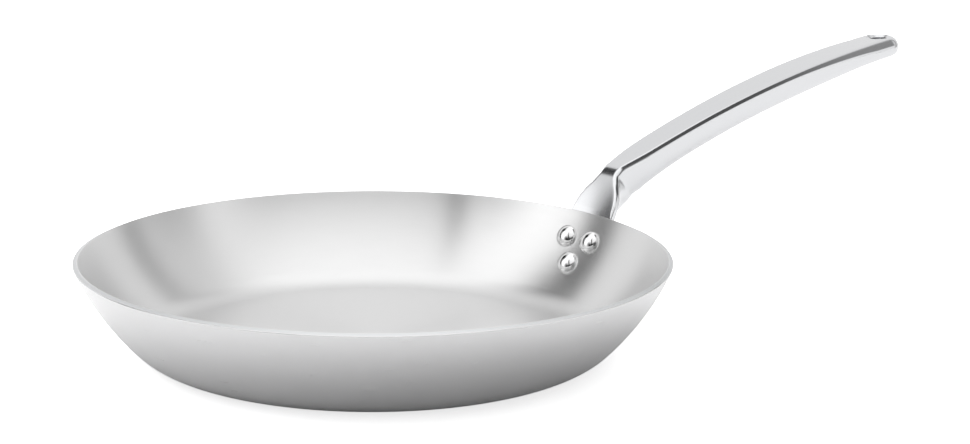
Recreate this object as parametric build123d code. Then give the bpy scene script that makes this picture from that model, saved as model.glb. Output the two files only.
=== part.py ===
from build123d import *
import math
import os

# Omelette pan: a low round bowl of bonded sheet metal with a flared wall, and a cast
# handle held to the outside of the wall by three rivets. Millimetres and degrees.
# The origin is the centre of the base, +X points towards the handle and +Z is up.

# Bowl, measured on its outer surface
RIM_RADIUS = 140.0
PAN_HEIGHT = 44.7
FLARE = 42.8
HEEL_RADIUS = 24.6
WALL_RADIUS = 119.1

# The three bonded layers of the sheet, from the inside out
COOKING_SKIN_THICKNESS = 0.4
CORE_THICKNESS = 1.6
OUTER_SKIN_THICKNESS = 0.5
RIM_ROUND = 0.25

# Rivets. A drop is a distance down the wall from the rim.
UPPER_RIVET_DROP = 14.7
LOWER_RIVET_DROP = 28.4
UPPER_RIVET_SPACING = 17.0
SHANK_RADIUS = 3.0
SHANK_CLEARANCE = 0.1
DOME_RADIUS = 5.9
DOME_HEIGHT = 3.7
TAIL_RADIUS = 4.6
TAIL_HEIGHT = 1.8
TAIL_FACE_RADIUS = 2.6
HEAD_SEAT_GAP = 0.03

# Handle flange, the plate on the wall
FLANGE_THICKNESS = 3.0
FLANGE_PAD = 0.6
FLANGE_SEAT_GAP = 0.05
FLANGE_SINK = 1.6
RIM_SINK = 0.25
FLANGE_END_HALF_WIDTH = 8.8
FLANGE_HALF_WIDTH = 16.2
SEAT_MARGIN = 0.5

# Handle neck and grip. A half width is half of the handle's breadth, and a depth is
# taken from the top face square to it.
NECK_LEAN = 61.0
NECK_RUN = 21.0
NECK_HALF_WIDTH = 6.6
NECK_DEPTH = 20.0
BEND_RADIUS = 13.0
GRIP_START_SLOPE = 20.8
GRIP_END_SLOPE = 6.2
GRIP_RUN = 212.0
GRIP_HALF_WIDTH = 12.6
GRIP_DEPTH = 15.6
PLATE_ROUND = 1.2
PLATE_EDGE = 2.6
EDGE_ROUND = 1.6
TIP_EDGE_ROUND = 5.4

# Form of the handle's sections. Each share is of the section's own width or depth.
GRIP_SIDE_SHARE = 0.06
GRIP_FULL_SHARE = 0.88
GRIP_BELLY_SHARE = 0.64
PLATE_BACK_SHARE = 0.5
RIB_FOOT_SHARE = 0.4

# The flange's sections: share of the way to the upper rivets, share of the breadth gained
FLANGE_SHARES = [(0, 0), (0.12, 0.02), (0.55, 0.63), (1, 1)]

# The neck's sections, from above the upper rivets to the start of the grip: share of the
# way from the rim, share of the flange's extra breadth, share of the neck's depth and share
# of the grip's form. The last list holds the tilt of each.
NECK_SHARES = [
    (-0.25, 0.95, 0.35, 0),
    (0, 0.86, 0.54, 0),
    (0.21, 0.78, 0.69, 0.15),
    (0.42, 0.56, 0.83, 0.4),
    (0.62, 0.21, 0.95, 0.75),
    (0.80, 0, 1.02, 0.95),
    (1, 0.034, 1.03, 1),
]
NECK_TILTS = [63.5, 63.4, 60.8, 56.3, 50.2, 44.8, 39.3]

# The grip's sections: share of its run, shares of its half width and depth, and share of the
# tip's rounder top edge. The last list holds the tilt added to the slope at each.
GRIP_SHARES = [
    (0.035, 0.64, 1.22, 0),
    (0.08, 0.73, 1.13, 0),
    (0.17, 0.78, 1.05, 0),
    (0.30, 0.82, 1.01, 0),
    (0.45, 0.87, 0.98, 0),
    (0.60, 0.92, 0.96, 0),
    (0.75, 0.97, 0.90, 0.24),
    (0.88, 1.0, 0.80, 0.64),
    (0.95, 1.0, 0.75, 1),
    (1, 1.0, 0.74, 1),
]
GRIP_TILTS = [13.2, 7.2, 1.2, 0, 0, 0, 0, 0, 0, 0]

# The handle is drawn through evenly spaced sections, closer together up to the joint
JOINT_SHARE = 0.06
ROOT_SECTION_COUNT = 24
GRIP_SECTION_COUNT = 16

# Hanging hole near the end of the grip
HOLE_OFFSET = 2.3
HOLE_RADIUS = 5.0
HOLE_LIP_RADIUS = 7.2
HOLE_LIP_DEPTH = 1.6
HOLE_UNDER_LIP_RADIUS = 5.8
HOLE_UNDER_LIP_DEPTH = 0.8

# Cutting shapes reach this far past what they cut
OVERRUN = 30.0
LIP_OVERRUN = 1.0


class Arc:
    """An arc of the bowl's section, read by its tangent angle above the horizontal."""

    def __init__(self, centre_x, centre_z, radius):
        self.x = centre_x
        self.z = centre_z
        self.radius = radius

    def point(self, angle, inset=0.0):
        """A point at a tangent angle, a distance in from the outer surface."""
        reach = self.radius - inset
        turn = math.radians(angle)
        return (self.x + reach * math.sin(turn), self.z - reach * math.cos(turn))


def angle_from(centre, point):
    """The tangent angle at a point of the arc about a centre."""
    return math.degrees(math.atan2(point[0] - centre[0], centre[1] - point[1]))


def wall_centre():
    """The centre of the arc that runs on smoothly from the heel and passes through the rim."""
    across = RIM_RADIUS - HEEL.x
    up = PAN_HEIGHT - HEEL.z
    apart = math.hypot(across, up)
    reach = WALL_RADIUS - HEEL_RADIUS
    along = (reach ** 2 - WALL_RADIUS ** 2 + apart ** 2) / (2 * apart)
    aside = math.sqrt(reach ** 2 - along ** 2)
    x = HEEL.x + (along * across - aside * up) / apart
    z = HEEL.z + (along * up + aside * across) / apart
    return (x, z)


# The flat base ends where the flared wall has run in from the rim
HEEL = Arc(RIM_RADIUS - FLARE, HEEL_RADIUS, HEEL_RADIUS)
WALL = Arc(*wall_centre(), WALL_RADIUS)
HEEL_ANGLE = angle_from((WALL.x, WALL.z), (HEEL.x, HEEL.z))
RIM_ANGLE = angle_from((WALL.x, WALL.z), (RIM_RADIUS, PAN_HEIGHT))
SHEET = COOKING_SKIN_THICKNESS + CORE_THICKNESS + OUTER_SKIN_THICKNESS
STANDING = (Align.CENTER, Align.CENTER, Align.MIN)


def in_section(point):
    """A point of the XZ section as a point in space."""
    return Vector(point[0], 0, point[1])


def angle_at(drop):
    """The wall's tangent angle at a distance down the outer surface from the rim."""
    return RIM_ANGLE - math.degrees(drop / WALL.radius)


def surface_line(inset):
    """Floor, heel and wall of the bowl's section at one depth in the sheet."""
    heel_middle = HEEL.point(HEEL_ANGLE / 2, inset)
    wall_middle = WALL.point((HEEL_ANGLE + RIM_ANGLE) / 2, inset)
    axis_point = in_section((0, inset))
    heel_start = in_section(HEEL.point(0, inset))
    wall_start = in_section(HEEL.point(HEEL_ANGLE, inset))
    wall_end = in_section(WALL.point(RIM_ANGLE, inset))
    return [
        Line(axis_point, heel_start),
        ThreePointArc(heel_start, in_section(heel_middle), wall_start),
        ThreePointArc(wall_start, in_section(wall_middle), wall_end),
    ]


def ply(outer_inset, inner_inset, rounded_inset=None):
    """One layer of the sheet, turned about the pan's axis."""
    outer = surface_line(outer_inset)
    inner = surface_line(inner_inset)
    rim = Line(outer[-1] @ 1, inner[-1] @ 1)
    axis = Line(outer[0] @ 0, inner[0] @ 0)
    face = make_face(outer + inner + [rim, axis])
    if rounded_inset is not None:
        corner = in_section(WALL.point(RIM_ANGLE, rounded_inset))
        nearest = face.vertices().sort_by_distance(corner)[0]
        face = fillet(nearest, RIM_ROUND)
    return revolve(face, Axis.Z)


class Rivet:
    """A place on the wall for a rivet, with its axis square to the outer surface."""

    def __init__(self, drop, across):
        self.angle = angle_at(drop)
        x, z = WALL.point(self.angle)
        turn = math.degrees(math.asin(across / x))
        lean = math.radians(self.angle)
        outward = Vector(math.sin(lean), 0, -math.cos(lean)).rotate(Axis.Z, turn)
        origin = Vector(x, 0, z).rotate(Axis.Z, turn)
        side = Vector(0, 1, 0).rotate(Axis.Z, turn)
        self.plane = Plane(origin=origin, x_dir=side, z_dir=outward)

    def hole(self):
        """The clearance hole through the sheet and the flange."""
        hole_radius = SHANK_RADIUS + SHANK_CLEARANCE
        return self.plane * Cylinder(hole_radius, 2 * OVERRUN)

    def seat(self):
        """The flat seat for the tail, cut into the back of the flange."""
        tool = Cylinder(TAIL_RADIUS + SEAT_MARGIN, OVERRUN, align=STANDING)
        return self.plane * Pos(0, 0, FLANGE_THICKNESS) * tool

    def solid(self):
        """Dome inside the bowl, shank through sheet and flange, closed tail outside."""
        dome = revolve(self.dome_outline(), Axis.Z)
        tail = revolve(self.tail_outline(), Axis.Z)
        shank_start = -SHEET - DOME_HEIGHT / 2
        shank_length = FLANGE_THICKNESS + TAIL_HEIGHT / 2 - shank_start
        shank = Pos(0, 0, shank_start) * Cylinder(SHANK_RADIUS, shank_length, align=STANDING)
        head = self.plane * dome - SHEET_BLOCK
        inward = self.plane.z_dir * -HEAD_SEAT_GAP
        return head.moved(Location(inward)) + self.plane * (shank + tail)

    def dome_outline(self):
        """Half of the polished dome, sunk into the sheet so that it can be trimmed to it."""
        base = -SHEET + DOME_HEIGHT / 2
        foot = -SHEET
        top = -SHEET - DOME_HEIGHT
        corner = math.sqrt(0.5)
        shoulder = Vector(DOME_RADIUS * corner, 0, foot - DOME_HEIGHT * corner)
        return make_face([
            Line((0, 0, base), (DOME_RADIUS, 0, base)),
            Line((DOME_RADIUS, 0, base), (DOME_RADIUS, 0, foot)),
            Spline([(DOME_RADIUS, 0, foot), shoulder, (0, 0, top)], tangents=[(0, 0, -1), (-1, 0, 0)]),
            Line((0, 0, top), (0, 0, base)),
        ])

    def tail_outline(self):
        """Half of the pressed tail: a low cone with a flat face and a round edge."""
        seat = FLANGE_THICKNESS + HEAD_SEAT_GAP
        edge = seat + TAIL_HEIGHT / 2
        top = seat + TAIL_HEIGHT
        return make_face([
            Line((0, 0, seat), (TAIL_RADIUS, 0, seat)),
            Line((TAIL_RADIUS, 0, seat), (TAIL_RADIUS, 0, edge)),
            Spline([(TAIL_RADIUS, 0, edge), (TAIL_FACE_RADIUS, 0, top)], tangents=[(0, 0, 1), (-1, 0, 0)]),
            Line((TAIL_FACE_RADIUS, 0, top), (0, 0, top)),
            Line((0, 0, top), (0, 0, seat)),
        ])


def sheet_block():
    """The whole sheet and what lies outside it, which a rivet's dome is trimmed to."""
    inner = surface_line(SHEET)
    beyond = surface_line(-OVERRUN / 2)
    rim = Line(inner[-1] @ 1, beyond[-1] @ 1)
    axis = Line(inner[0] @ 0, beyond[0] @ 0)
    return revolve(make_face(inner + beyond + [rim, axis]), Axis.Z)


SHEET_BLOCK = sheet_block()


def bowl_envelope():
    """The room of the bowl, its sheet and a guard above the rim, kept clear of the handle."""
    outer = surface_line(-FLANGE_SEAT_GAP)
    rim = outer[-1] @ 1
    lean = math.radians(RIM_ANGLE)
    guard = rim + Vector(math.cos(lean), 0, math.sin(lean)) * OVERRUN
    top = Vector(0, 0, guard.Z)
    face = make_face(outer + [Line(rim, guard), Line(guard, top), Line(top, outer[0] @ 0)])
    return revolve(face, Axis.Z)


class Station:
    """A cross-section of the handle, in a plane that tilts as the handle turns."""

    def __init__(self, point, tilt, half_width, depth, grip_share, edge):
        lean = math.radians(tilt)
        along = Vector(math.cos(lean), 0, math.sin(lean))
        self.plane = Plane(origin=in_section(point), x_dir=(0, 1, 0), z_dir=along)
        self.half_width = half_width
        self.depth = depth
        self.grip_share = grip_share
        self.edge = edge
        # The plate's face is hollow, like the wall that it sits on
        inner = half_width - edge
        self.rise = (1 - grip_share) * inner * inner / (2 * RIM_RADIUS)

    def half_outline(self, side):
        """Rounded top edge, side and belly from the middle of the top to the middle below."""
        wide = side * self.half_width
        inner = side * (self.half_width - self.edge)
        grip = self.grip_share
        plate = 1 - grip
        side_depth = grip * (self.edge + self.depth * GRIP_SIDE_SHARE) + plate * PLATE_EDGE
        fall = self.depth - side_depth
        first_pull = grip + plate * PLATE_BACK_SHARE
        second_pull = grip * GRIP_BELLY_SHARE + plate * RIB_FOOT_SHARE
        first = (wide * first_pull, -side_depth - grip * fall * GRIP_FULL_SHARE)
        second = (wide * second_pull, -self.depth)
        top = self.rise
        foot = top - self.edge
        corner = Bezier((inner, top), (wide, top), (wide, foot), weights=[1, math.sqrt(0.5), 1])
        flank = Line((wide, foot), (wide, -side_depth))
        belly = Bezier((wide, -side_depth), first, second, (0, -self.depth))
        return [corner, flank, belly]

    def face(self):
        inner = self.half_width - self.edge
        top = Bezier((-inner, self.rise), (0, -self.rise), (inner, self.rise))
        return self.plane * make_face([top] + self.half_outline(1) + self.half_outline(-1))

    def half_face(self):
        """The section's own half, which is swept half a turn to round off an end."""
        inner = self.half_width - self.edge
        top = Bezier((0, 0), (inner / 2, 0), (inner, self.rise))
        middle = Line((0, 0), (0, -self.depth))
        return self.plane * make_face([top, middle] + self.half_outline(1))

    def rounded_end(self, turn):
        return revolve(self.half_face(), Axis(self.plane.origin, self.plane.y_dir), turn)


def front_of_neck(run, sink):
    """The neck's straight front, from the rim up to the bend."""
    x, z = WALL.point(RIM_ANGLE, sink)
    lean = math.radians(NECK_LEAN)
    return (x + run * math.cos(lean), z + run * math.sin(lean))


def arc_from(start, start_slope, end_slope, radius):
    """The far end of an arc that bends down from one slope to another."""
    first = math.radians(start_slope)
    last = math.radians(end_slope)
    x = start[0] + radius * (math.sin(first) - math.sin(last))
    z = start[1] + radius * (math.cos(last) - math.cos(first))
    return (x, z)


BEND_RUN = BEND_RADIUS * math.radians(NECK_LEAN - GRIP_START_SLOPE)
GRIP_RADIUS = GRIP_RUN / math.radians(GRIP_START_SLOPE - GRIP_END_SLOPE)
RIM_PLACE = LOWER_RIVET_DROP
BEND_PLACE = RIM_PLACE + NECK_RUN
GRIP_PLACE = BEND_PLACE + BEND_RUN
TIP_PLACE = GRIP_PLACE + GRIP_RUN


def top_slope(place):
    """The slope of the handle's face at a distance along it from the lower rivet."""
    if place < RIM_PLACE:
        return angle_at(RIM_PLACE - place)
    if place < BEND_PLACE:
        return NECK_LEAN
    if place < GRIP_PLACE:
        return NECK_LEAN - math.degrees((place - BEND_PLACE) / BEND_RADIUS)
    return GRIP_START_SLOPE - math.degrees((place - GRIP_PLACE) / GRIP_RADIUS)


def top_point(place, sink):
    """A point in the middle of the handle's face, up the wall and neck and out to the tip."""
    slope = top_slope(place)
    if place < RIM_PLACE:
        return WALL.point(slope, sink)
    if place < BEND_PLACE:
        return front_of_neck(place - RIM_PLACE, sink)
    bend_start = front_of_neck(NECK_RUN, sink)
    if place < GRIP_PLACE:
        return arc_from(bend_start, NECK_LEAN, slope, BEND_RADIUS)
    grip_start = arc_from(bend_start, NECK_LEAN, GRIP_START_SLOPE, BEND_RADIUS)
    return arc_from(grip_start, GRIP_START_SLOPE, slope, GRIP_RADIUS)


def key_sections():
    """The handle's chosen sections: place, tilt, half width, depth, grip share, edge, sink."""
    plate = FLANGE_SINK + FLANGE_THICKNESS + FLANGE_PAD
    gain = FLANGE_HALF_WIDTH - FLANGE_END_HALF_WIDTH
    rows = []
    for run_share, gain_share in FLANGE_SHARES:
        place = (RIM_PLACE - UPPER_RIVET_DROP) * run_share
        half_width = FLANGE_END_HALF_WIDTH + gain * gain_share
        rows.append((place, top_slope(place), half_width, plate, 0, PLATE_ROUND, FLANGE_SINK))
    extra = FLANGE_HALF_WIDTH - NECK_HALF_WIDTH
    for (run_share, extra_share, depth_share, grip_share), tilt in zip(NECK_SHARES, NECK_TILTS):
        place = RIM_PLACE + (GRIP_PLACE - RIM_PLACE) * run_share
        half_width = NECK_HALF_WIDTH + extra * extra_share
        sink = RIM_SINK if run_share >= 0 else FLANGE_SINK
        edge = PLATE_ROUND + (EDGE_ROUND - PLATE_ROUND) * grip_share
        rows.append((place, tilt, half_width, NECK_DEPTH * depth_share, grip_share, edge, sink))
    for (run_share, width_share, depth_share, tip_share), added in zip(GRIP_SHARES, GRIP_TILTS):
        place = GRIP_PLACE + GRIP_RUN * run_share
        tilt = top_slope(place) + added
        edge = EDGE_ROUND + (TIP_EDGE_ROUND - EDGE_ROUND) * tip_share
        rows.append((place, tilt, GRIP_HALF_WIDTH * width_share, GRIP_DEPTH * depth_share, 1, edge, RIM_SINK))
    return rows


def smooth_slope(before, here, after):
    """The slope at a key point that keeps the curve through it from overshooting."""
    left = (here[1] - before[1]) / (here[0] - before[0])
    right = (after[1] - here[1]) / (after[0] - here[0])
    if left * right <= 0:
        return 0
    return 2 * left * right / (left + right)


def smooth_value(points, place):
    """The height at a place of a smooth curve through points given as place and value."""
    index = 0
    while index < len(points) - 2 and place > points[index + 1][0]:
        index += 1
    start, end = points[index], points[index + 1]
    gap = end[0] - start[0]
    first_slope = smooth_slope(points[index - 1], start, end) if index else 0
    last_slope = smooth_slope(start, end, points[index + 2]) if index < len(points) - 2 else 0
    t = (place - start[0]) / gap
    rise = end[1] - start[1]
    bend = t * t * (3 - 2 * t)
    return start[1] + rise * bend + gap * t * (1 - t) * (first_slope * (1 - t) - last_slope * t)


def station_at(place, keys):
    """The section at any place, eased between the chosen ones."""
    columns = [[(row[0], row[column]) for row in keys] for column in range(1, 7)]
    tilt, half_width, depth, grip_share, edge, sink = [smooth_value(column, place) for column in columns]
    return Station(top_point(place, sink), tilt, half_width, depth, grip_share, edge)


def lofted(keys, start, end, count):
    """A smooth solid through evenly spaced sections."""
    step = (end - start) / (count - 1)
    return loft([station_at(start + step * index, keys).face() for index in range(count)])


def hanging_hole(tip):
    """The through hole with a wide lip above and a small one below."""
    stack = [
        (HOLE_LIP_RADIUS, LIP_OVERRUN),
        (HOLE_LIP_RADIUS, 0),
        (HOLE_RADIUS, -HOLE_LIP_DEPTH),
        (HOLE_RADIUS, HOLE_UNDER_LIP_DEPTH - tip.depth),
        (HOLE_UNDER_LIP_RADIUS, -tip.depth),
        (HOLE_UNDER_LIP_RADIUS, -tip.depth - LIP_OVERRUN),
    ]
    edge = [(0, stack[0][1])] + stack + [(0, stack[-1][1])]
    outline = [Line(a, b) for a, b in zip(edge, edge[1:] + edge[:1])]
    place = tip.plane.offset(HOLE_OFFSET)
    return revolve(place * make_face(outline), Axis(place.origin, place.y_dir))


def handle():
    keys = key_sections()
    foot = station_at(0, keys)
    tip = station_at(TIP_PLACE, keys)
    joint = GRIP_PLACE + GRIP_RUN * JOINT_SHARE
    body = lofted(keys, 0, joint, ROOT_SECTION_COUNT)
    body += lofted(keys, joint, TIP_PLACE, GRIP_SECTION_COUNT)
    body += foot.rounded_end(180)
    body += tip.rounded_end(-180)
    body -= bowl_envelope()
    for rivet in RIVETS.values():
        body -= rivet.hole()
        body -= rivet.seat()
    return body - hanging_hole(tip)


RIVETS = {
    "rivet_upper_left": Rivet(UPPER_RIVET_DROP, UPPER_RIVET_SPACING / 2),
    "rivet_upper_right": Rivet(UPPER_RIVET_DROP, -UPPER_RIVET_SPACING / 2),
    "rivet_lower": Rivet(LOWER_RIVET_DROP, 0),
}


def bowl_layers():
    core_inset = OUTER_SKIN_THICKNESS
    skin_inset = core_inset + CORE_THICKNESS
    layers = {
        "outer_skin": ply(0, core_inset, 0),
        "aluminium_core": ply(core_inset, skin_inset),
        "cooking_skin": ply(skin_inset, SHEET, SHEET),
    }
    for rivet in RIVETS.values():
        for name in layers:
            layers[name] -= rivet.hole()
    return layers


def write(nodes):
    os.makedirs("parts", exist_ok=True)
    for name, solid in nodes.items():
        export_step(solid, f"parts/{name}.step")
        print(name, "volume", round(solid.volume, 1), "solids", len(solid.solids()))


nodes = bowl_layers()
nodes["handle"] = handle()
for name, rivet in RIVETS.items():
    nodes[name] = rivet.solid()
write(nodes)
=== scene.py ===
import bmesh
import bpy
import math
from mathutils import Matrix, Vector


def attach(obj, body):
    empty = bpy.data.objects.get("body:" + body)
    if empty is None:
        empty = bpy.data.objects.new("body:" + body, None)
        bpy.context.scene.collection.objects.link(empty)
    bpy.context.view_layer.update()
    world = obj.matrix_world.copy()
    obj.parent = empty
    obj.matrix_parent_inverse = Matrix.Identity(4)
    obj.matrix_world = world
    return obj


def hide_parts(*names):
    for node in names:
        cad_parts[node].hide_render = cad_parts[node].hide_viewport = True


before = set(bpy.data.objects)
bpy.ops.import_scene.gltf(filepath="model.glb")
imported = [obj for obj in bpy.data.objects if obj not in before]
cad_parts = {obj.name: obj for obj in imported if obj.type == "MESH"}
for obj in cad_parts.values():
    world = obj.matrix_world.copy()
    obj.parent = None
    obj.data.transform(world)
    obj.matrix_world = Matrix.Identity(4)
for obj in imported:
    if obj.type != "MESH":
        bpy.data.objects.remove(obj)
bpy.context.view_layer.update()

# An omelette pan of satin stainless steel on a pale floor. Metres; +X points along the
# handle, +Z is up and the origin is the centre of the base.
MM = 0.001

# Bowl, as the frame has it
RIM_RADIUS = 140.0 * MM
PAN_HEIGHT = 44.7 * MM
FLARE = 42.8 * MM
HEEL_RADIUS = 24.6 * MM
WALL_RADIUS = 119.1 * MM
OUTER_SKIN = 0.5 * MM
CORE = 1.6 * MM
COOKING_SKIN = 0.4 * MM
SHEET = OUTER_SKIN + CORE + COOKING_SKIN
RIM_ROUND = 0.25 * MM

# Rivets
UPPER_RIVET_DROP = 14.7 * MM
LOWER_RIVET_DROP = 28.4 * MM
UPPER_RIVET_SPACING = 17.0 * MM
SHANK_HOLE_RADIUS = 3.1 * MM
TAIL_SEAT_RADIUS = 5.1 * MM

# Handle
FLANGE_THICKNESS = 3.0 * MM
FLANGE_PAD = 0.6 * MM
FLANGE_SEAT_GAP = 0.05 * MM
FLANGE_SINK = 1.6 * MM
RIM_SINK = 0.25 * MM
FLANGE_END_HALF_WIDTH = 8.8 * MM
FLANGE_HALF_WIDTH = 16.2 * MM
NECK_LEAN = math.radians(61.0)
NECK_RUN = 21.0 * MM
NECK_HALF_WIDTH = 6.6 * MM
NECK_DEPTH = 20.0 * MM
BEND_RADIUS = 13.0 * MM
GRIP_START_SLOPE = math.radians(20.8)
GRIP_END_SLOPE = math.radians(6.2)
GRIP_RUN = 212.0 * MM
GRIP_HALF_WIDTH = 12.6 * MM
GRIP_DEPTH = 15.6 * MM
PLATE_ROUND = 1.2 * MM
PLATE_EDGE = 2.6 * MM
EDGE_ROUND = 2.5 * MM
TIP_EDGE_ROUND = 5.4 * MM
GRIP_SIDE_SHARE = 0.06
GRIP_FULL_SHARE = 0.88
GRIP_BELLY_SHARE = 0.64
PLATE_BACK_SHARE = 0.5
RIB_FOOT_SHARE = 0.4
FLANGE_SHARES = [(0, 0), (0.12, 0.02), (0.55, 0.63), (1, 1)]
NECK_SHARES = [
    (-0.25, 0.95, 0.35, 0),
    (0, 0.86, 0.54, 0),
    (0.21, 0.78, 0.69, 0.15),
    (0.42, 0.56, 0.83, 0.4),
    (0.62, 0.21, 0.95, 0.75),
    (0.80, 0, 1.02, 0.95),
    (1, 0.034, 1.03, 1),
]
NECK_TILTS = [63.5, 63.4, 60.8, 56.3, 50.2, 44.8, 39.3]
GRIP_SHARES = [
    (0.035, 0.64, 1.22, 0),
    (0.08, 0.73, 1.13, 0),
    (0.17, 0.78, 1.05, 0),
    (0.30, 0.82, 1.01, 0),
    (0.45, 0.87, 0.98, 0),
    (0.60, 0.92, 0.96, 0),
    (0.75, 0.97, 0.90, 0.24),
    (0.88, 1.0, 0.80, 0.64),
    (0.95, 1.0, 0.75, 1),
    (1, 1.0, 0.74, 1),
]
GRIP_TILTS = [13.2, 7.2, 1.2, 0, 0, 0, 0, 0, 0, 0]
HOLE_OFFSET = 2.3 * MM
HOLE_RADIUS = 5.0 * MM
HOLE_LIP_RADIUS = 7.2 * MM
HOLE_LIP_DEPTH = 1.6 * MM
HOLE_UNDER_LIP_RADIUS = 5.8 * MM
HOLE_UNDER_LIP_DEPTH = 0.8 * MM
OVERRUN = 30.0 * MM
LIP_OVERRUN = 1.0 * MM

# How finely the pieces are cut
ROOT_STEPS = 90
GRIP_STEPS = 90
END_STEPS = 28
TOP_STEPS = 7
CORNER_STEPS = 7
BELLY_STEPS = 14
HOLE_STEPS = 64
BOWL_STEPS = 288
HEEL_STEPS = 14
WALL_STEPS = 22
FLOOR_RINGS = 6
ROUND_STEPS = 4
SHARP_ANGLE = math.radians(32)
WELD = 0.002 * MM

# Camera, found from the photograph's rim, floor and handle
CAMERA_PLACE = Vector((-0.57724, -0.74956, 0.27805))
CAMERA_AIM = Vector((0.63578, 0.73864, -0.22405))
CAMERA_UP = Vector((0.13668, 0.17796, 0.97450))
LENS = 76.72
SENSOR = 36.0
NEAREST_SEEN = 0.01
VIEW_TURN = math.radians(37.6)

# Marks in the metal, per metre or, for the turns, per radian
BRUSH_LINES = 900.0
BRUSH_TURNS = 6.0
POLISH_LINES = 1200.0
POLISH_LENGTHS = 40.0
DIMPLES = 500.0
MARK_DETAIL = 4.0
MARK_COARSENESS = 0.6
MARK_MIDDLE = 0.5
MARK_ROUGHNESS = 0.12

WHITE = (1, 1, 1, 1)
FLOOR_COLOUR = (0.8, 0.8, 0.8, 1)
FLOOR_SIZE = 12.0
FLOOR_GAP = 0.2 * MM
# The floor's glow for the camera and for what the steel shows
CAMERA_GLOW = 0.75
STEEL_GLOW = 0.05

# Soft light on the floor: the degrees up over which it comes in, how much it leans to the far
# left, and its strength
SOFT_CLIMB = (16, 60)
SOFT_LEAN = 0.75
SOFT_LEVEL = 2.15

# Surroundings as the steel shows them. The stops are shares of SIDE_LEVEL round the horizon, in
# degrees to the right of straight ahead, and the front is the camera's own side of the room,
# which is dark below its climb. The climbs are in degrees up.
SIDE_LEVEL = 1.5
OVERHEAD_LEVEL = 1.3
OVERHEAD_CLIMB = (46, 66)
FRONT_CLIMB = (14, 40)
FRONT_DEPTH = 0.95
SIDE_STOPS = [
    (-180, 0.72), (-150, 0.70), (-125, 0.85), (-110, 0.95), (-84, 0.95), (-74, 0.8), (-62, 0.62),
    (-40, 0.63), (0, 0.61), (44, 0.6), (72, 0.58), (100, 0.68), (140, 0.74), (180, 0.72),
]
FRONT_STOPS = [(-128, 0), (-104, 1), (105, 1), (135, 0)]
# Dark flags: middle at the horizon, its shift per degree up, half width, soft edge, depth
FLAGS = [
    (-76.0, 0.38, 9.0, 3.0, 0.42),
    (-86.0, 0.9, 6.0, 5.0, 0.8),
    (69.0, -0.6, 4.0, 7.0, 0.55),
    (-159.5, 0.5, 2.0, 4.5, 0.96),
]
# A dark patch up on the left: middle, half width and soft edge round, and where it starts and ends
PATCH = (-56.0, 12.0, 7.0)
PATCH_START = (28, 35)
PATCH_END = (46, 54)
PATCH_DEPTH = 0.9
# Dark curved card beside the handle: its axis, its radius and its reach in degrees round it. It
# glows least near the bowl and more beyond the fade along X.
CARD_START = Vector((0.160, 0, 0.0853))
CARD_END = Vector((0.470, 0, 0.138))
CARD_RADIUS = 0.065
CARD_FROM = 94
CARD_TO = 176
CARD_STEPS = 12
CARD_FADE = (0.27, 0.40)
CARD_GLOW = 0.22
CARD_LEAST = 0.1


# Turned pieces


class Arc:
    """An arc of the bowl's section, read by its tangent angle above the horizontal."""

    def __init__(self, x, z, radius):
        self.x = x
        self.z = z
        self.radius = radius

    def point(self, angle, inset=0.0):
        reach = self.radius - inset
        return Vector((self.x + reach * math.sin(angle), 0, self.z - reach * math.cos(angle)))

    def points(self, start, end, steps, inset):
        return [self.point(start + (end - start) * i / steps, inset) for i in range(steps + 1)]


def wall_arc():
    """The arc that runs on smoothly from the heel and passes through the rim."""
    across = RIM_RADIUS - HEEL.x
    up = PAN_HEIGHT - HEEL.z
    apart = math.hypot(across, up)
    reach = WALL_RADIUS - HEEL_RADIUS
    along = (reach ** 2 - WALL_RADIUS ** 2 + apart ** 2) / (2 * apart)
    aside = math.sqrt(reach ** 2 - along ** 2)
    x = HEEL.x + (along * across - aside * up) / apart
    z = HEEL.z + (along * up + aside * across) / apart
    return Arc(x, z, WALL_RADIUS)


BASE_RADIUS = RIM_RADIUS - FLARE
HEEL = Arc(BASE_RADIUS, HEEL_RADIUS, HEEL_RADIUS)
WALL = wall_arc()
HEEL_ANGLE = math.atan2(HEEL.x - WALL.x, WALL.z - HEEL.z)
RIM_ANGLE = math.atan2(RIM_RADIUS - WALL.x, WALL.z - PAN_HEIGHT)


def surface_points(inset):
    """Floor, heel and wall of the bowl's section at one depth in the sheet."""
    floor = [Vector((BASE_RADIUS * i / FLOOR_RINGS, 0, inset)) for i in range(FLOOR_RINGS)]
    heel = HEEL.points(0, HEEL_ANGLE, HEEL_STEPS, inset)
    wall = WALL.points(HEEL_ANGLE, RIM_ANGLE, WALL_STEPS, inset)
    return floor + heel + wall[1:]


def rounded_rim(edge, along, across):
    """The corner at a rim edge, rounded between the wall's line and the rim's face."""
    centre = edge - along * RIM_ROUND + across * RIM_ROUND
    turns = [math.pi / 2 * i / ROUND_STEPS for i in range(ROUND_STEPS + 1)]
    return [
        centre - across * (RIM_ROUND * math.cos(turn)) + along * (RIM_ROUND * math.sin(turn))
        for turn in turns
    ]


def layer_outline(outer_inset, inner_inset, rounded=None):
    """The closed half section of one layer, from the axis out, over the rim and back."""
    outer = surface_points(outer_inset)
    inner = surface_points(inner_inset)
    along = Vector((math.cos(RIM_ANGLE), 0, math.sin(RIM_ANGLE)))
    inward = Vector((-math.sin(RIM_ANGLE), 0, math.cos(RIM_ANGLE)))
    if rounded == "outer":
        outer = outer[:-1] + rounded_rim(outer[-1], along, inward)
    if rounded == "inner":
        inner = inner[:-1] + rounded_rim(inner[-1], along, -inward)
    return outer + inner[::-1]


def put_in_scene(name, bm):
    """A finished mesh as an object of the scene."""
    mesh = bpy.data.meshes.new(name)
    bm.to_mesh(mesh)
    bm.free()
    made = bpy.data.objects.new(name, mesh)
    bpy.context.scene.collection.objects.link(made)
    return made


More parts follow.
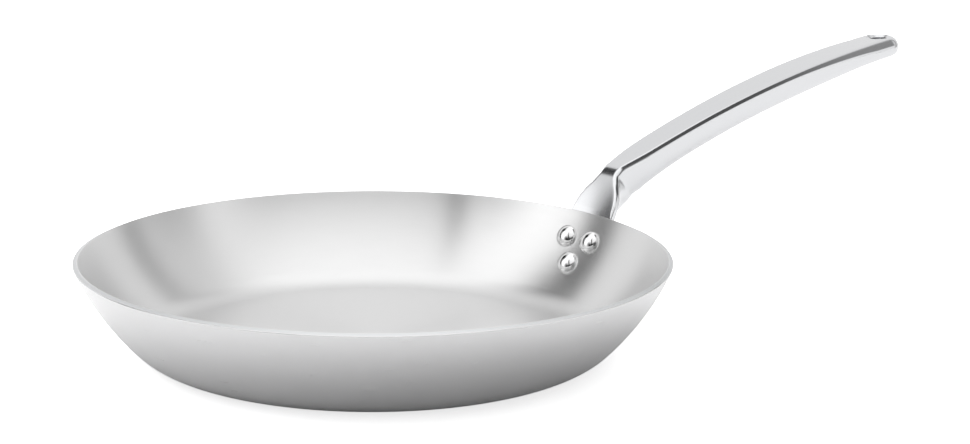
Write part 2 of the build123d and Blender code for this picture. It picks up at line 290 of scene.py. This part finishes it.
def shade(mesh):
    """Smooth faces with sharp edges where they meet at more than a small angle."""
    mesh.shade_smooth()
    mesh.set_sharp_from_angle(angle=SHARP_ANGLE)


def new_piece(name, bm, node):
    """A finished mesh as an object that rides with the pan and stands for its node."""
    piece = put_in_scene(name, bm)
    shade(piece.data)
    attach(piece, "root")
    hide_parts(node)
    return piece


def turned(outline, steps):
    """A closed shape spun from a half section that starts and ends on the axis."""
    bm = bmesh.new()
    verts = [bm.verts.new(point) for point in outline]
    edges = [bm.edges.new(pair) for pair in zip(verts, verts[1:])]
    bmesh.ops.spin(
        bm, geom=verts + edges, cent=(0, 0, 0), axis=(0, 0, 1), dvec=(0, 0, 0),
        angle=2 * math.pi, steps=steps, use_merge=True,
    )
    bmesh.ops.remove_doubles(bm, verts=bm.verts, dist=WELD)
    bmesh.ops.recalc_face_normals(bm, faces=bm.faces)
    return bm


def bowl():
    """The three bonded layers of the sheet."""
    middle = OUTER_SKIN + CORE
    outside = turned(layer_outline(0, OUTER_SKIN, "outer"), BOWL_STEPS)
    outside = new_piece("bowl_outside", outside, "outer_skin")
    core = turned(layer_outline(OUTER_SKIN, middle), BOWL_STEPS)
    core = new_piece("bowl_core", core, "aluminium_core")
    inside = turned(layer_outline(middle, SHEET, "inner"), BOWL_STEPS)
    inside = new_piece("bowl_inside", inside, "cooking_skin")
    hole = half_section((SHANK_HOLE_RADIUS, -FLANGE_THICKNESS), (SHANK_HOLE_RADIUS, FLANGE_THICKNESS))
    for layer in (outside, core, inside):
        carve(layer, [(hole, place) for place in rivet_places()])
    return outside, core, inside


def smooth_copy(node, name):
    """A node's own shape with its triangles joined, so that it shades as one surface."""
    bm = bmesh.new()
    bm.from_mesh(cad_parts[node].data)
    bmesh.ops.remove_doubles(bm, verts=bm.verts, dist=WELD)
    return new_piece(name, bm, node)


# Handle


class Station:
    """A cross-section of the handle, in a plane that tilts as the handle turns."""

    def __init__(self, origin, tilt, half_width, depth, grip, edge):
        self.origin = origin
        self.along = Vector((math.cos(tilt), 0, math.sin(tilt)))
        self.up = Vector((-math.sin(tilt), 0, math.cos(tilt)))
        self.half_width = half_width
        self.depth = depth
        self.grip = grip
        self.edge = edge

    def half_outline(self):
        """Across and up, from the middle of the top round the side to the middle of the belly."""
        wide, grip, plate = self.half_width, self.grip, 1 - self.grip
        inner = wide - self.edge
        rise = plate * inner * inner / (2 * RIM_RADIUS)
        side_depth = grip * (self.edge + self.depth * GRIP_SIDE_SHARE) + plate * PLATE_EDGE
        fall = self.depth - side_depth
        pulls = [
            Vector((wide, -side_depth)),
            Vector((wide * (grip + plate * PLATE_BACK_SHARE), -side_depth - grip * fall * GRIP_FULL_SHARE)),
            Vector((wide * (grip * GRIP_BELLY_SHARE + plate * RIB_FOOT_SHARE), -self.depth)),
            Vector((0, -self.depth)),
        ]
        top = [Vector((inner * t, rise * t * t)) for t in shares(TOP_STEPS)]
        turns = [math.pi / 2 * t for t in shares(CORNER_STEPS)[1:]]
        corner = [
            Vector((inner + self.edge * math.sin(turn), rise - self.edge * (1 - math.cos(turn))))
            for turn in turns
        ]
        belly = [bezier(pulls, t) for t in shares(BELLY_STEPS)]
        return top + corner + belly

    def place(self, across, rise):
        return self.origin + Vector((0, across, 0)) + self.up * rise

    def ring(self, bm):
        """The section's closed outline as edges of a mesh."""
        half = self.half_outline()
        other_half = [Vector((-across, rise)) for across, rise in half[-2:0:-1]]
        verts = [bm.verts.new(self.place(*point)) for point in half + other_half]
        return [bm.edges.new(pair) for pair in zip(verts, verts[1:] + verts[:1])]

    def rounded_end(self, bm, turn):
        """The section's own half, spun half a turn to round off an end."""
        verts = [bm.verts.new(self.place(*point)) for point in self.half_outline()]
        edges = [bm.edges.new(pair) for pair in zip(verts, verts[1:])]
        bmesh.ops.spin(
            bm, geom=verts + edges, cent=self.origin, axis=self.up, dvec=(0, 0, 0),
            angle=turn, steps=END_STEPS,
        )


def shares(steps):
    return [i / steps for i in range(steps + 1)]


def bezier(points, t):
    """A point of the curve that a few points pull."""
    while len(points) > 1:
        points = [first.lerp(second, t) for first, second in zip(points, points[1:])]
    return points[0]


def off_the_wall(point):
    """The point, moved out of the bowl's sheet to the seat gap where it lies inside it."""
    reach = math.hypot(point.x, point.y)
    across, up = reach - WALL.x, point.z - WALL.z
    angle = min(math.atan2(across, -up), RIM_ANGLE)
    outward = Vector((math.sin(angle), -math.cos(angle)))
    depth = WALL_RADIUS + FLANGE_SEAT_GAP - outward.dot(Vector((across, up)))
    if depth <= 0:
        return point
    radial = Vector((point.x / reach, point.y / reach, 0))
    return point + (radial * outward.x + Vector((0, 0, outward.y))) * depth


def front_of_neck(run, sink):
    """The neck's straight front, from the rim up to the bend."""
    rim = WALL.point(RIM_ANGLE, sink)
    return rim + Vector((math.cos(NECK_LEAN), 0, math.sin(NECK_LEAN))) * run


def arc_from(start, first, last, radius):
    """The far end of an arc that bends down from one slope to another."""
    reach = Vector((math.sin(first) - math.sin(last), 0, math.cos(last) - math.cos(first)))
    return start + reach * radius


GRIP_RADIUS = GRIP_RUN / (GRIP_START_SLOPE - GRIP_END_SLOPE)
RIM_PLACE = LOWER_RIVET_DROP
BEND_PLACE = RIM_PLACE + NECK_RUN
GRIP_PLACE = BEND_PLACE + BEND_RADIUS * (NECK_LEAN - GRIP_START_SLOPE)
TIP_PLACE = GRIP_PLACE + GRIP_RUN


def top_slope(place):
    """The slope of the handle's face at a distance along it from the lower rivet."""
    if place < RIM_PLACE:
        return RIM_ANGLE - (RIM_PLACE - place) / WALL_RADIUS
    if place < BEND_PLACE:
        return NECK_LEAN
    if place < GRIP_PLACE:
        return NECK_LEAN - (place - BEND_PLACE) / BEND_RADIUS
    return GRIP_START_SLOPE - (place - GRIP_PLACE) / GRIP_RADIUS


def top_point(place, sink):
    """A point in the middle of the handle's face, up the wall and neck and out to the tip."""
    slope = top_slope(place)
    if place < RIM_PLACE:
        return WALL.point(slope, sink)
    if place < BEND_PLACE:
        return front_of_neck(place - RIM_PLACE, sink)
    bend_start = front_of_neck(NECK_RUN, sink)
    if place < GRIP_PLACE:
        return arc_from(bend_start, NECK_LEAN, slope, BEND_RADIUS)
    grip_start = arc_from(bend_start, NECK_LEAN, GRIP_START_SLOPE, BEND_RADIUS)
    return arc_from(grip_start, GRIP_START_SLOPE, slope, GRIP_RADIUS)


def key_sections():
    """The handle's chosen sections: place, tilt, half width, depth, grip share, edge, sink."""
    plate = FLANGE_SINK + FLANGE_THICKNESS + FLANGE_PAD
    gain = FLANGE_HALF_WIDTH - FLANGE_END_HALF_WIDTH
    rows = []
    for run_share, gain_share in FLANGE_SHARES:
        place = (RIM_PLACE - UPPER_RIVET_DROP) * run_share
        half_width = FLANGE_END_HALF_WIDTH + gain * gain_share
        rows.append((place, top_slope(place), half_width, plate, 0, PLATE_ROUND, FLANGE_SINK))
    extra = FLANGE_HALF_WIDTH - NECK_HALF_WIDTH
    for (run_share, extra_share, depth_share, grip_share), tilt in zip(NECK_SHARES, NECK_TILTS):
        place = RIM_PLACE + (GRIP_PLACE - RIM_PLACE) * run_share
        half_width = NECK_HALF_WIDTH + extra * extra_share
        sink = RIM_SINK if run_share >= 0 else FLANGE_SINK
        edge = PLATE_ROUND + (EDGE_ROUND - PLATE_ROUND) * grip_share
        rows.append((place, math.radians(tilt), half_width, NECK_DEPTH * depth_share, grip_share, edge, sink))
    for (run_share, width_share, depth_share, tip_share), added in zip(GRIP_SHARES, GRIP_TILTS):
        place = GRIP_PLACE + GRIP_RUN * run_share
        tilt = top_slope(place) + math.radians(added)
        edge = EDGE_ROUND + (TIP_EDGE_ROUND - EDGE_ROUND) * tip_share
        rows.append((place, tilt, GRIP_HALF_WIDTH * width_share, GRIP_DEPTH * depth_share, 1, edge, RIM_SINK))
    return rows


def smooth_slope(before, here, after):
    """The slope at a key point that keeps the curve through it from overshooting."""
    left = (here[1] - before[1]) / (here[0] - before[0])
    right = (after[1] - here[1]) / (after[0] - here[0])
    if left * right <= 0:
        return 0
    return 2 * left * right / (left + right)


def smooth_value(points, place):
    """The height at a place of a smooth curve through points given as place and value."""
    index = 0
    while index < len(points) - 2 and place > points[index + 1][0]:
        index += 1
    start, end = points[index], points[index + 1]
    gap = end[0] - start[0]
    first_slope = smooth_slope(points[index - 1], start, end) if index else 0
    last_slope = smooth_slope(start, end, points[index + 2]) if index < len(points) - 2 else 0
    t = (place - start[0]) / gap
    rise = end[1] - start[1]
    bend = t * t * (3 - 2 * t)
    return start[1] + rise * bend + gap * t * (1 - t) * (first_slope * (1 - t) - last_slope * t)


def station_at(place, keys):
    """The section at any place, eased between the chosen ones."""
    columns = [[(row[0], row[column]) for row in keys] for column in range(1, len(keys[0]))]
    tilt, half_width, depth, grip, edge, sink = [smooth_value(column, place) for column in columns]
    return Station(top_point(place, sink), tilt, half_width, depth, grip, edge)


def handle_body(keys):
    """The handle's closed surface through its sections, with rounded ends, clear of the bowl."""
    root = [GRIP_PLACE * t for t in shares(ROOT_STEPS)]
    grip = [GRIP_PLACE + GRIP_RUN * t for t in shares(GRIP_STEPS)[1:]]
    bm = bmesh.new()
    rings = [station_at(place, keys).ring(bm) for place in root + grip]
    for first, second in zip(rings, rings[1:]):
        bmesh.ops.bridge_loops(bm, edges=first + second)
    station_at(0, keys).rounded_end(bm, math.pi)
    station_at(TIP_PLACE, keys).rounded_end(bm, -math.pi)
    bmesh.ops.remove_doubles(bm, verts=bm.verts, dist=WELD)
    bmesh.ops.recalc_face_normals(bm, faces=bm.faces)
    for vert in bm.verts:
        vert.co = off_the_wall(vert.co)
    return bm


def rivet_places():
    """Where each rivet crosses the wall, with the Z axis pointing outwards."""
    half = UPPER_RIVET_SPACING / 2
    for drop, across in ((UPPER_RIVET_DROP, half), (UPPER_RIVET_DROP, -half), (LOWER_RIVET_DROP, 0)):
        angle = RIM_ANGLE - drop / WALL_RADIUS
        origin = WALL.point(angle)
        turn = Matrix.Rotation(math.asin(across / origin.x), 4, "Z")
        yield turn @ Matrix.Translation(origin) @ Matrix.Rotation(math.pi - angle, 4, "Y")


def half_section(*points):
    """Points at a radius and a height, from the axis out and back to it."""
    first, last = points[0], points[-1]
    return [Vector((radius, 0, z)) for radius, z in ((0, first[1]), *points, (0, last[1]))]


def hanging_hole(tip):
    """The through hole with a wide lip above and a small one below."""
    below = -tip.depth
    outline = half_section(
        (HOLE_LIP_RADIUS, LIP_OVERRUN), (HOLE_LIP_RADIUS, 0), (HOLE_RADIUS, -HOLE_LIP_DEPTH),
        (HOLE_RADIUS, below + HOLE_UNDER_LIP_DEPTH), (HOLE_UNDER_LIP_RADIUS, below),
        (HOLE_UNDER_LIP_RADIUS, below - LIP_OVERRUN),
    )
    upright = Matrix((tip.along, Vector((0, 1, 0)), tip.up)).transposed().to_4x4()
    return outline, Matrix.Translation(tip.origin + tip.along * HOLE_OFFSET) @ upright


def carve(piece, cuts):
    """Take turned shapes, each with its place, out of a piece, and mark its sharp edges again."""
    whole = bmesh.new()
    for outline, place in cuts:
        cut = turned(outline, HOLE_STEPS)
        mesh = bpy.data.meshes.new("cut")
        cut.to_mesh(mesh)
        cut.free()
        mesh.transform(place)
        whole.from_mesh(mesh)
    tool = put_in_scene("cuts", whole)
    cutting = piece.modifiers.new("cuts", "BOOLEAN")
    cutting.operation = "DIFFERENCE"
    cutting.object = tool
    graph = bpy.context.evaluated_depsgraph_get()
    piece.data = bpy.data.meshes.new_from_object(piece.evaluated_get(graph))
    piece.modifiers.clear()
    bpy.data.objects.remove(tool)
    shade(piece.data)
    shading = piece.modifiers.new("even_shading", "WEIGHTED_NORMAL")
    shading.keep_sharp = True


def handle():
    """The cast handle, with its hanging hole and the rivets' holes and tail seats."""
    keys = key_sections()
    piece = new_piece("pan_handle", handle_body(keys), "handle")
    seat = half_section(
        (SHANK_HOLE_RADIUS, -OVERRUN), (SHANK_HOLE_RADIUS, FLANGE_THICKNESS),
        (TAIL_SEAT_RADIUS, FLANGE_THICKNESS), (TAIL_SEAT_RADIUS, OVERRUN),
    )
    tip = station_at(TIP_PLACE, keys)
    carve(piece, [hanging_hole(tip)] + [(seat, place) for place in rivet_places()])
    return piece


# Materials


class Value:
    """A number socket of a node tree, so that its maths is written as Python."""

    def __init__(self, tree, socket):
        self.tree = tree
        self.socket = socket

    def __add__(self, other):
        return self.tree.maths("ADD", self, other)

    __radd__ = __add__

    def __mul__(self, other):
        return self.tree.maths("MULTIPLY", self, other)

    __rmul__ = __mul__

    def __sub__(self, other):
        return self.tree.maths("SUBTRACT", self, other)

    def __rsub__(self, other):
        return self.tree.maths("SUBTRACT", other, self)

    def __pow__(self, other):
        return self.tree.maths("POWER", self, other)


class Tree:
    """A node tree with one method for any node."""

    def __init__(self, owner):
        owner.use_nodes = True
        self.tree = owner.node_tree
        self.tree.nodes.clear()

    def node(self, kind, settings=None, *inputs, **named):
        node = self.tree.nodes.new(kind)
        for key, setting in (settings or {}).items():
            if key == "stops":
                self.set_stops(node.color_ramp, setting)
            else:
                setattr(node, key, setting)
        for place, given in enumerate(inputs):
            self.fill(node.inputs[place], given)
        for name, given in named.items():
            self.fill(node.inputs[name.replace("_", " ")], given)
        return node

    def fill(self, socket, given):
        if isinstance(given, Value):
            given = given.socket
        if isinstance(given, bpy.types.NodeSocket):
            self.tree.links.new(given, socket)
        else:
            socket.default_value = given

    def value(self, kind, settings=None, *inputs, **named):
        return Value(self, self.node(kind, settings, *inputs, **named).outputs[0])

    def maths(self, operation, *sides):
        return self.value("ShaderNodeMath", {"operation": operation}, *sides)

    def axes(self, place):
        """X, Y and Z of a place."""
        split = self.node("ShaderNodeSeparateXYZ", None, place)
        return [Value(self, output) for output in split.outputs]

    def rays(self, *names):
        """For each kind of ray, 1 where the ray is of that kind and 0 otherwise."""
        path = self.node("ShaderNodeLightPath")
        return [Value(self, path.outputs[name]) for name in names]

    @staticmethod
    def set_stops(ramp, stops):
        ramp.interpolation = "EASE"
        while len(ramp.elements) < len(stops):
            ramp.elements.new(1)
        for element, (place, shade) in zip(ramp.elements, stops):
            element.position = place
            element.color = (shade, shade, shade, 1)


def material(name):
    made = bpy.data.materials.new(name)
    return made, Tree(made)


def dress(piece, made):
    piece.data.materials.clear()
    piece.data.materials.append(made)


def object_axes(tree):
    """X, Y and Z of the object's own coordinates."""
    return tree.axes(tree.node("ShaderNodeTexCoord").outputs["Object"])


def finish_material(tree, shader):
    tree.node("ShaderNodeOutputMaterial", None, shader.outputs[0])


def marked_steel(name, colour, roughness, marks, depth, **spread):
    """Metal with fine marks: they vary its roughness and stand a little proud of it."""
    made, tree = material(name)
    pattern = tree.value("ShaderNodeCombineXYZ", None, *marks(*object_axes(tree)))
    noise = tree.value("ShaderNodeTexNoise", None, pattern, Scale=1.0, Detail=MARK_DETAIL,
                       Roughness=MARK_COARSENESS)
    rough = roughness + (noise - MARK_MIDDLE) * MARK_ROUGHNESS
    bump = tree.value("ShaderNodeBump", None, Strength=1.0, Distance=depth, Height=noise)
    shader = tree.node("ShaderNodeBsdfPrincipled", None, Base_Color=colour, Metallic=1.0,
                       Roughness=rough, Normal=bump, **spread)
    finish_material(tree, shader)
    return made


def round_marks(x, y, z):
    """Brushing in circles round the bowl's axis."""
    radius = (x * x + y * y) ** 0.5
    angle = x.tree.maths("ARCTAN2", y, x)
    return (radius + z) * BRUSH_LINES, angle * BRUSH_TURNS, 0.0


def long_marks(x, y, z):
    """Polishing lines along the handle."""
    return x * POLISH_LENGTHS, y * POLISH_LINES, z * POLISH_LINES


def small_marks(x, y, z):
    """The faint unevenness of a pressed and polished head."""
    return x * DIMPLES, y * DIMPLES, z * DIMPLES


# Studio


def seen_glow(tree):
    """A glow for the camera and, weaker, for what steel shows, but none for light."""
    camera, glossy, clear = tree.rays("Is Camera Ray", "Is Glossy Ray", "Is Transmission Ray")
    return camera * CAMERA_GLOW + tree.maths("MAXIMUM", glossy, clear) * STEEL_GLOW


def floor():
    """A pale floor, a hair below the base so that the two don't lie in one plane."""
    bm = bmesh.new()
    bmesh.ops.create_grid(bm, x_segments=1, y_segments=1, size=FLOOR_SIZE / 2)
    bmesh.ops.translate(bm, verts=bm.verts, vec=(0, 0, -FLOOR_GAP))
    piece = put_in_scene("floor", bm)
    made, tree = material("pale_floor")
    lit = tree.value("ShaderNodeBsdfDiffuse", None, Color=FLOOR_COLOUR)
    glow = tree.value("ShaderNodeEmission", None, Color=WHITE, Strength=seen_glow(tree))
    finish_material(tree, tree.node("ShaderNodeAddShader", None, lit, glow))
    dress(piece, made)


def smooth_step(tree, value, low, high):
    """0 below the first value and 1 above the second, with an eased climb between."""
    return tree.value("ShaderNodeMapRange", {"interpolation_type": "SMOOTHSTEP"}, value, low, high, 0.0, 1.0)


def band(tree, off, half, soft_edge):
    """1 within a half width of the middle and 0 beyond its soft edge."""
    return 1 - smooth_step(tree, tree.maths("ABSOLUTE", off), half, half + soft_edge)


def around(tree, azimuth, stops):
    """Brightness round the horizon, from stops in degrees to the right of straight ahead."""
    place = (azimuth + 180) * (1 / 360)
    shades = [((degrees + 180) / 360, shade) for degrees, shade in stops]
    return tree.value("ShaderNodeValToRGB", {"stops": shades}, place)


def shown_level(tree, azimuth, elevation):
    """What steel shows: pale sides with dark flags, a dark low front and a bright ceiling."""
    sides = around(tree, azimuth, SIDE_STOPS) * SIDE_LEVEL
    for middle, shift, half, soft_edge, depth in FLAGS:
        sides = sides * (1 - depth * band(tree, azimuth - middle - elevation * shift, half, soft_edge))
    middle, half, soft_edge = PATCH
    patch = smooth_step(tree, elevation, *PATCH_START) * (1 - smooth_step(tree, elevation, *PATCH_END))
    sides = sides * (1 - patch * band(tree, azimuth - middle, half, soft_edge) * PATCH_DEPTH)
    front = 1 - around(tree, azimuth, FRONT_STOPS)
    low_front = (1 - smooth_step(tree, elevation, *FRONT_CLIMB)) * front
    overhead = smooth_step(tree, elevation, *OVERHEAD_CLIMB)
    return sides * (1 - low_front * FRONT_DEPTH) * (1 - overhead) + overhead * OVERHEAD_LEVEL


def studio():
    """White for the camera, soft light for the floor, and the surroundings that steel shows."""
    world = bpy.data.worlds.new("studio")
    bpy.context.scene.world = world
    tree = Tree(world)
    place = tree.node("ShaderNodeTexCoord").outputs["Generated"]
    seen = tree.value("ShaderNodeVectorRotate", {"rotation_type": "Z_AXIS"}, Vector=place, Angle=VIEW_TURN)
    right, away, up = tree.axes(seen)
    azimuth = tree.maths("ARCTAN2", right, away) * math.degrees(1)
    elevation = tree.maths("ARCSINE", up) * math.degrees(1)
    camera, diffuse = tree.rays("Is Camera Ray", "Is Diffuse Ray")
    soft = smooth_step(tree, elevation, *SOFT_CLIMB) * (1 - right * SOFT_LEAN + away * SOFT_LEAN)
    shown = (1 - camera) * (1 - diffuse) * shown_level(tree, azimuth, elevation)
    strength = camera + diffuse * soft * SOFT_LEVEL + shown
    light = tree.value("ShaderNodeBackground", None, Color=WHITE, Strength=strength)
    tree.node("ShaderNodeOutputWorld", None, light)
    world.cycles.sampling_method = "NONE"


def dark_card():
    """A dark curved card over the handle, seen only in steel, that draws the line of its edge."""
    along = (CARD_END - CARD_START).normalized()
    sideways = Vector((0, CARD_RADIUS, 0))
    edge = Matrix.Rotation(math.radians(CARD_FROM), 3, along) @ sideways
    bm = bmesh.new()
    verts = [bm.verts.new(end + edge) for end in (CARD_START, CARD_END)]
    bmesh.ops.spin(
        bm, geom=verts + [bm.edges.new(verts)], cent=CARD_START, axis=along, dvec=(0, 0, 0),
        angle=math.radians(CARD_TO - CARD_FROM), steps=CARD_STEPS,
    )
    card = put_in_scene("dark_card", bm)
    card.visible_camera = False
    card.visible_diffuse = False
    card.visible_shadow = False
    made, tree = material("card_black")
    x = object_axes(tree)[0]
    glow = smooth_step(tree, x, *CARD_FADE) * CARD_GLOW + CARD_LEAST
    finish_material(tree, tree.node("ShaderNodeEmission", None, Color=WHITE, Strength=glow))
    dress(card, made)


def camera():
    data = bpy.data.cameras.new("camera")
    data.lens = LENS
    data.sensor_width = SENSOR
    data.clip_start = NEAREST_SEEN
    eye = bpy.data.objects.new("camera", data)
    side = CAMERA_AIM.cross(CAMERA_UP).normalized()
    up = side.cross(CAMERA_AIM).normalized()
    turn = Matrix((side, up, -CAMERA_AIM.normalized())).transposed().to_4x4()
    eye.matrix_world = Matrix.Translation(CAMERA_PLACE) @ turn
    bpy.context.scene.collection.objects.link(eye)
    bpy.context.scene.camera = eye


bpy.context.scene.view_settings.view_transform = "Standard"
outside, core, inside = bowl()
grip = handle()
rivets = [
    smooth_copy(node, node + "_smooth")
    for node in ("rivet_upper_left", "rivet_upper_right", "rivet_lower")
]
dress(outside, marked_steel(
    "satin_outside", colour=(0.76, 0.76, 0.765, 1), roughness=0.25, marks=round_marks, depth=0.008 * MM,
    Anisotropic=0.6, Anisotropic_Rotation=0.25,
))
dress(inside, marked_steel(
    "satin_inside", colour=(0.78, 0.78, 0.78, 1), roughness=0.32, marks=round_marks, depth=0.02 * MM,
    Anisotropic=0.8, Anisotropic_Rotation=0.25,
))
dress(core, marked_steel(
    "rolled_aluminium", colour=(0.72, 0.73, 0.74, 1), roughness=0.4, marks=round_marks, depth=0.01 * MM,
))
dress(grip, marked_steel(
    "polished_handle", colour=(0.72, 0.725, 0.74, 1), roughness=0.16, marks=long_marks, depth=0.002 * MM,
))
for rivet in rivets:
    dress(rivet, marked_steel(
        "bright_rivet", colour=(0.8, 0.8, 0.8, 1), roughness=0.09, marks=small_marks, depth=0.004 * MM,
    ))
floor()
dark_card()
studio()
camera()
